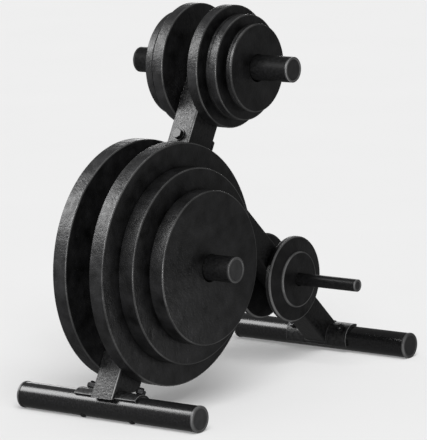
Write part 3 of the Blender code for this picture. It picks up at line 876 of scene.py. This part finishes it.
def plate_profile(outer, thickness, bore, edge, groove):
    """A plain plate in profile, its back at height 0. A groove is given as (start, end, depth)."""
    points = [(bore, 0, CUT_ROUNDING), (outer, 0, edge)]
    if groove:
        start, end, depth = groove
        points += [
            (outer, start, CUT_ROUNDING),
            (outer - depth, start + depth / 2, FINE_ROUNDING),
            (outer - depth, end - depth / 2, FINE_ROUNDING),
            (outer, end, CUT_ROUNDING),
        ]
    return points + [(outer, thickness, edge), (bore, thickness, CUT_ROUNDING)]


def hub_profile(outer, thickness, bore, hub, hub_side, slope):
    """A plate with a raised hub in profile, its back at height 0."""
    rim = thickness - hub_side - slope
    return [
        (bore, 0, CUT_ROUNDING),
        (outer, 0, HUB_PLATE_EDGE),
        (outer, rim, HUB_PLATE_EDGE),
        (hub + HUB_TAPER, rim + slope, CUT_ROUNDING),
        (hub, thickness, HUB_ROUNDING),
        (bore, thickness, CUT_ROUNDING),
    ]


def make_plate(node, profile, coat):
    """A plate from its profile. Its edges that face right are rubbed and painted lighter, partly as painted
    highlight, whichever side it hangs on; the edges that face left stay dark.
    """
    side = SIDES[node.rsplit("_", 1)[1]]
    lowest, highest = ALL_HEIGHTS
    worn_highlit_heights = (PLATE_BACK, highest) if side > 0 else (lowest, PLATE_BACK)
    mesh = turned_mesh(
        profile, settings().plate_steps, material_of(coat), closed=True, worn_highlit_heights=worn_highlit_heights
    )
    place = along_x(node, side, inner_end(node, side))
    finish_piece(f"{node}_coated", mesh, place, material_of(coat), node, [node])


def hexagon_bolt(across, head, radius, reach, pitch):
    """A hexagon head from 0 down to its height below 0, and a threaded shaft from 0 up to its reach."""
    shaft = [(0, 0.0, 0.0)] + thread_profile(radius, 0.0, reach, pitch)
    return joined(
        [
            hexagon_mesh(across, -head, 0.0),
            turned_mesh(shaft, BOLT_STEPS, material_of(BOLT_PAINT), corner_steps=1),
        ]
    )


def weld_path(points):
    """A run of points as a mesh of edges."""
    mesh = bpy.data.meshes.new("weld path")
    mesh.from_pydata(points, [(index, index + 1) for index in range(len(points) - 1)], [])
    return mesh


def bead_tree():
    """Lays a weld bead on a path, as overlapping drops of uneven size."""
    smallest, largest = DROP_SIZES
    tree, given = new_tree(
        WELD_BEAD,
        [
            ("Width", "NodeSocketFloat", 0.005),
            ("Spacing", "NodeSocketFloat", 0.0015),
            ("Seed", "NodeSocketInt", WELD_SEED),
            ("Material", "NodeSocketMaterial", None),
        ],
    )
    curve = add_node(tree, "GeometryNodeMeshToCurve", {"Mesh": given["Geometry"]})
    points = add_node(
        tree,
        "GeometryNodeResampleCurve",
        {"Curve": curve.outputs[0], "Length": given["Spacing"]},
        mode="LENGTH",
    )
    drop = add_node(
        tree, "GeometryNodeMeshIcoSphere", {"Radius": given["Width"], "Subdivisions": 2}
    )
    size = add_node(
        tree,
        "FunctionNodeRandomValue",
        {2: smallest, 3: largest, "Seed": given["Seed"]},
        data_type="FLOAT",
    )
    drops = add_node(
        tree,
        "GeometryNodeInstanceOnPoints",
        {"Points": points.outputs[0], "Instance": drop.outputs[0], "Scale": size.outputs[1]},
    )
    end_tree(tree, drops.outputs[0], given["Material"])


def saddle_radius(place, leg):
    """The radius of a saddle's outer face, round its foot's axis."""
    return span(f"{place}_saddle", leg)[1].z


def saddle_point(leg, x, angle, reach):
    """A point on a saddle's outer face, at an angle in degrees from the leg's own direction."""
    turn = math.radians(angle)
    return leg @ Vector((x, reach * math.sin(turn), reach * math.cos(turn)))


def make_weld(name, points, width):
    paint = material_of(PAINT)
    values = {"Width": width, "Spacing": width * DROP_SPACING, "Seed": WELD_SEED, "Material": paint}
    mesh = run_tree(weld_path(points), WELD_BEAD, values)
    finish_piece(name, mesh, Matrix(), paint, STAND_BODY, [])


# Stage


def aimed_area(name, direction, distance, size, power):
    """An area light in that direction from the stand's middle, and aimed at it."""
    data = bpy.data.lights.new(name, "AREA")
    data.shape = "RECTANGLE"
    data.size, data.size_y = size
    data.energy = power
    light = add_object(name, data)
    away = Vector(direction).normalized()
    place = Matrix.Translation(Vector(STAND_MIDDLE) + away * distance)
    light.matrix_world = place @ away.to_track_quat("Z", "Y").to_matrix().to_4x4()
    return light


def floor_light(name, direction, strength, width):
    """A far light whose width is given in degrees."""
    data = bpy.data.lights.new(name, "SUN")
    data.energy = strength
    data.angle = math.radians(width)
    light = add_object(name, data)
    light.matrix_world = Vector(direction).to_track_quat("Z", "Y").to_matrix().to_4x4()
    return light


def make_camera(aim):
    """The camera at the photograph's viewing angle."""
    azimuth = math.radians(37.53)
    elevation = math.radians(10.58)
    roll = math.radians(-2.19)
    distance = 6.35755
    focal_length = 3474.93  # in the photograph's pixels
    forward = Vector(
        (
            -math.sin(azimuth) * math.cos(elevation),
            math.cos(azimuth) * math.cos(elevation),
            -math.sin(elevation),
        )
    )
    right = Vector((math.cos(azimuth), math.sin(azimuth), 0))
    up = right.cross(forward)
    turned_right = right * math.cos(roll) + up * math.sin(roll)
    turned_up = up * math.cos(roll) - right * math.sin(roll)
    data = bpy.data.cameras.new("Camera")
    data.sensor_width = SENSOR_WIDTH
    data.sensor_fit = "AUTO"
    data.lens = focal_length / max(IMAGE_SIZE) * SENSOR_WIDTH
    data.clip_start = 0.1
    data.clip_end = 200.0
    camera = add_object("Camera", data)
    turn = Matrix((turned_right, turned_up, -forward)).transposed().to_4x4()
    camera.matrix_world = Matrix.Translation(aim - forward * distance) @ turn
    bpy.context.scene.camera = camera


def link_light(light, things, state):
    """Lets a light reach these things alone, or all but these."""
    receivers = bpy.data.collections.new(f"{light.name} receivers")
    for thing in things:
        receivers.objects.link(thing)
    light.light_linking.receiver_collection = receivers
    for item in receivers.collection_objects:
        item.light_linking.link_state = state


def make_floor():
    shape = bmesh.new()
    bmesh.ops.create_grid(shape, x_segments=8, y_segments=8, size=60.0)
    mesh = mesh_from(shape, "Studio floor")
    mesh.materials.append(material_of(FLOOR))
    floor = add_object("Studio floor", mesh)
    floor.visible_glossy = False
    floor.visible_diffuse = False
    return floor


def make_world():
    """Pale to the camera, and a dim even light to everything else."""
    world = bpy.data.worlds.new("Studio")
    world.use_nodes = True
    tree = world.node_tree
    tree.nodes.clear()
    path = add_node(tree, "ShaderNodeLightPath")
    dim = add_node(tree, "ShaderNodeBackground", {"Color": (1, 1, 1, 1), "Strength": 0.15})
    pale = add_node(tree, "ShaderNodeBackground", {"Color": (0.855, 0.855, 0.855, 1), "Strength": 1.0})
    mixed = add_node(
        tree, "ShaderNodeMixShader", {0: path.outputs["Is Camera Ray"], 1: dim.outputs[0], 2: pale.outputs[0]}
    )
    add_node(tree, "ShaderNodeOutputWorld", {"Surface": mixed.outputs[0]})
    bpy.context.scene.world = world


def make_stage():
    make_camera(centre("front_foot_tube") + Vector(CAMERA_AIM))
    floor = make_floor()
    make_world()
    key, front, low, fill, bounce = [aimed_area(*numbers) for numbers in SOFTBOXES]
    bounce.visible_camera = False
    overhead, ceiling = [floor_light(*numbers) for numbers in FLOOR_LIGHTS]
    ceiling.data.use_shadow = False
    rear_foot = bpy.data.objects["rear_foot_tube_coated"]
    top_peg = [bpy.data.objects[name] for name in ("top_peg_tube_coated", "top_peg_cap_left_moulded")]
    link_light(key, [floor, *top_peg], "EXCLUDE")
    for light in (front, fill):
        link_light(light, [floor], "EXCLUDE")
    for light in (low, bounce):
        link_light(light, [floor, rear_foot], "EXCLUDE")
    for light in (overhead, ceiling):
        link_light(light, [floor], "INCLUDE")
    bpy.context.scene.view_settings.view_transform = "Standard"


# Operators


class PLATETREE_OT_stage(bpy.types.Operator):
    """Make the floor, the lights and the camera"""

    bl_idname = "plate_tree.stage"
    bl_label = "Stage"

    def execute(self, context):
        make_stage()
        return {"FINISHED"}


class PLATETREE_OT_feet(bpy.types.Operator):
    """Make both feet with their caps"""

    bl_idname = "plate_tree.feet"
    bl_label = "Feet"

    def execute(self, context):
        sizes = context.scene.plate_tree
        for place in ("front", "rear"):
            tube = f"{place}_foot_tube"
            caps = f"{place}_foot_cap"
            make_tube_and_caps(tube, caps, sizes.tube_wall, sizes.cap_edge, SMOOTH_PAINT)
        return {"FINISHED"}


class PLATETREE_OT_legs(bpy.types.Operator):
    """Make the post, the strut, the end plate, the saddles and the post's cap"""

    bl_idname = "plate_tree.legs"
    bl_label = "Post and Strut"

    def execute(self, context):
        sizes = context.scene.plate_tree
        paint = material_of(PAINT)
        plastic = material_of(CAPS)
        for node in ("post_tube", "strut_tube", "strut_end_plate", "front_saddle", "rear_saddle"):
            # The post's corner strips are marked worn so that a painted highlight line runs down its corners
            mesh = softened_copy(node, sizes.sheet_edge, worn_highlit_corners=node == "post_tube")
            finish_piece(f"{node}_coated", mesh, Matrix(), paint, STAND_BODY, [node])
        cap = "post_top_cap"
        mesh = softened_copy(cap, sizes.post_cap_edge)
        finish_piece(f"{cap}_moulded", mesh, Matrix(), plastic, STAND_BODY, [cap])
        return {"FINISHED"}


class PLATETREE_OT_welds(bpy.types.Operator):
    """Lay the weld beads of the post and the strut"""

    bl_idname = "plate_tree.welds"
    bl_label = "Weld Beads"

    def execute(self, context):
        width = context.scene.plate_tree.weld_width
        front = leg_frame("front", "top")
        rear = leg_frame("rear", "low")
        rear_in_front = front.inverted() @ rear
        foot_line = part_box("post_tube")[0].z + width / 2
        half = span("post_tube", front)[1].x
        reach = saddle_radius("front", front)
        angles = range(-POST_WELD_REACH, POST_WELD_REACH + 1, POST_WELD_STEP)
        for side_name, side in SIDES.items():
            round_saddle = [saddle_point(front, side * half, angle, reach) for angle in angles]
            path = [point for point in round_saddle if point.z > foot_line]
            make_weld(f"post_weld_{side_name}", path, width)
        half = span("strut_tube", rear)[1].x
        reach = saddle_radius("rear", rear)
        limit = math.degrees(math.asin(half / reach))
        steps = range(-STRUT_WELD_STEPS, STRUT_WELD_STEPS + 1)
        angles = [limit * step / STRUT_WELD_STEPS for step in steps]
        up_side = [saddle_point(rear, half, angle, reach) for angle in angles]
        down_side = [saddle_point(rear, -half, -angle, reach) for angle in angles]
        make_weld("strut_weld_saddle", up_side + down_side + up_side[:1], width)
        plate_back = span("strut_end_plate", front)[1].y
        along = rear_in_front.to_3x3() @ Vector((0, 0, 1))
        corners = []
        for x, y in ((1, 1), (-1, 1), (-1, -1), (1, -1)):
            start = rear_in_front @ Vector((x * half, y * half, 0))
            corners.append(front @ (start + along * ((plate_back - start.y) / along.y)))
        make_weld("strut_weld_plate", corners + corners[:1], width)
        return {"FINISHED"}


class PLATETREE_OT_saddle_fasteners(bpy.types.Operator):
    """Make the bolts and nuts that hold the saddles to the feet"""

    bl_idname = "plate_tree.saddle_fasteners"
    bl_label = "Saddle Bolts and Nuts"

    def execute(self, context):
        sizes = context.scene.plate_tree
        zinc = material_of(ZINC)
        for place, peg in (("front", "top"), ("rear", "low")):
            leg = leg_frame(place, peg)
            bolt_low, bolt_high = span(f"{place}_saddle_bolt_right", leg)
            nut_low, nut_high = span(f"{place}_saddle_nut_right", leg)
            offset = (bolt_low.x + bolt_high.x) / 2
            head = (bolt_high.x - bolt_low.x) / 2
            seat = -radius_of(f"{place}_foot_tube")
            bolt = [(head * share, bolt_low.z + rise, rounding) for share, rise, rounding in ROUND_HEAD]
            bolt.append((head, seat, 0.0))
            bolt += thread_profile(sizes.bolt_radius, seat, bolt_high.z, SADDLE_PITCH)
            values = {"Offset": offset, "Material": zinc}
            for part, mesh in (
                ("bolt", turned_mesh(bolt, BOLT_STEPS, zinc, corner_steps=2)),
                ("nut", hexagon_mesh(sizes.nut_across, nut_low.z, nut_high.z, sizes.bolt_radius)),
            ):
                finish_piece(
                    f"{place}_saddle_{part}s_plated",
                    run_tree(mesh, MIRRORED_PAIR, values),
                    leg,
                    zinc,
                    STAND_BODY,
                    [f"{place}_saddle_{part}_{side_name}" for side_name in SIDES],
                )
        return {"FINISHED"}


class PLATETREE_OT_strut_fasteners(bpy.types.Operator):
    """Make the bolts, nuts and washers that hold the strut to the post"""

    bl_idname = "plate_tree.strut_fasteners"
    bl_label = "Strut Bolts and Nuts"

    def execute(self, context):
        leg = leg_frame("front", "top")
        backwards = Matrix.Rotation(-math.pi / 2, 4, "X")
        dark = material_of(BOLT_PAINT)
        for level in ("lower", "upper"):
            head_low, head_high = span(f"strut_bolt_{level}", leg)
            nut_low, nut_high = span(f"strut_nut_{level}", leg)
            seat = span(f"strut_washer_front_{level}", leg)[0].y
            height = (head_low.z + head_high.z) / 2
            across = (head_high.x - head_low.x) * math.cos(HALF_SIDE)
            bolt = hexagon_bolt(
                across, seat - head_low.y, STRUT_BOLT_RADIUS, head_high.y - seat, STRUT_PITCH
            )
            nut = hexagon_mesh(STRUT_NUT_ACROSS, 0, nut_high.y - nut_low.y, STRUT_NUT_BORE)
            pieces = [(f"strut_bolt_{level}", bolt, seat), (f"strut_nut_{level}", nut, nut_low.y)]
            for face in ("front", "back"):
                low, high = span(f"strut_washer_{face}_{level}", leg)
                outer = (high.x - low.x) / 2
                thickness = high.y - low.y
                profile = [
                    (WASHER_BORE, 0, WASHER_BORE_ROUNDING),
                    (outer, 0, FINE_ROUNDING),
                    (outer, thickness, FINE_ROUNDING),
                    (WASHER_BORE, thickness, WASHER_BORE_ROUNDING),
                ]
                ring = turned_mesh(profile, WASHER_STEPS, dark, closed=True, corner_steps=2)
                pieces.append((f"strut_washer_{face}_{level}", ring, low.y))
            for node, mesh, along in pieces:
                place = leg @ Matrix.Translation((0, along, height)) @ backwards
                finish_piece(f"{node}_painted", mesh, place, dark, STAND_BODY, [node])
        return {"FINISHED"}


class PLATETREE_OT_pegs(bpy.types.Operator):
    """Make the three pegs with their caps"""

    bl_idname = "plate_tree.pegs"
    bl_label = "Pegs"

    def execute(self, context):
        sizes = context.scene.plate_tree
        for peg in ("top", "middle", "low"):
            tube = f"{peg}_peg_tube"
            wall = sizes.tube_wall if peg != "low" else LOW_PEG_WALL
            make_tube_and_caps(tube, f"{peg}_peg_cap", wall, PEG_CAP_EDGE, SLEEVE)
        return {"FINISHED"}


class PLATETREE_OT_plates(bpy.types.Operator):
    """Make the plain plates of the top and middle pegs"""

    bl_idname = "plate_tree.plates"
    bl_label = "Plain Plates"

    def execute(self, context):
        sizes = context.scene.plate_tree
        for node, groove in PLAIN_PLATES.items():
            profile = plate_profile(
                radius_of(node), depth_of(node), sizes.wide_bore, sizes.plate_edge, groove
            )
            make_plate(node, profile, COATING)
        return {"FINISHED"}


class PLATETREE_OT_hub_plates(bpy.types.Operator):
    """Make the plates with a raised hub, on the low peg"""

    bl_idname = "plate_tree.hub_plates"
    bl_label = "Hub Plates"

    def execute(self, context):
        sizes = context.scene.plate_tree
        for side_name in SIDES:
            node = f"hub_plate_{side_name}"
            profile = hub_profile(
                radius_of(node),
                depth_of(node),
                sizes.narrow_bore,
                sizes.hub_radius,
                sizes.hub_side,
                sizes.hub_slope,
            )
            make_plate(node, profile, HUB_COATING)
        return {"FINISHED"}


STEPS = (
    PLATETREE_OT_feet,
    PLATETREE_OT_legs,
    PLATETREE_OT_welds,
    PLATETREE_OT_saddle_fasteners,
    PLATETREE_OT_strut_fasteners,
    PLATETREE_OT_pegs,
    PLATETREE_OT_plates,
    PLATETREE_OT_hub_plates,
    PLATETREE_OT_stage,
)


class PLATETREE_PT_panel(bpy.types.Panel):
    """The weight plate tree's sizes and steps"""

    bl_idname = "PLATETREE_PT_panel"
    bl_label = "Weight Plate Tree"
    bl_space_type = "VIEW_3D"
    bl_region_type = "UI"
    bl_category = "Plate Tree"

    def draw(self, context):
        sizes = context.scene.plate_tree
        for name in sizes.bl_rna.properties.keys():
            if name not in {"rna_type", "name"}:
                self.layout.prop(sizes, name)
        for step in STEPS:
            self.layout.operator(step.bl_idname)


CLASSES = (PlateTreeSettings, *STEPS, PLATETREE_PT_panel)


def register():
    for one in CLASSES:
        bpy.utils.register_class(one)
    bpy.types.Scene.plate_tree = PointerProperty(type=PlateTreeSettings)


def unregister():
    del bpy.types.Scene.plate_tree
    for one in reversed(CLASSES):
        bpy.utils.unregister_class(one)


def main():
    register()
    bpy.context.scene.collection.children.link(bpy.data.collections.new(COLLECTION))
    turning_tree()
    pair_tree()
    bead_tree()
    make_materials()
    for step in STEPS:
        group, action = step.bl_idname.split(".")
        getattr(getattr(bpy.ops, group), action)()


if __name__ == "__main__":
    main()
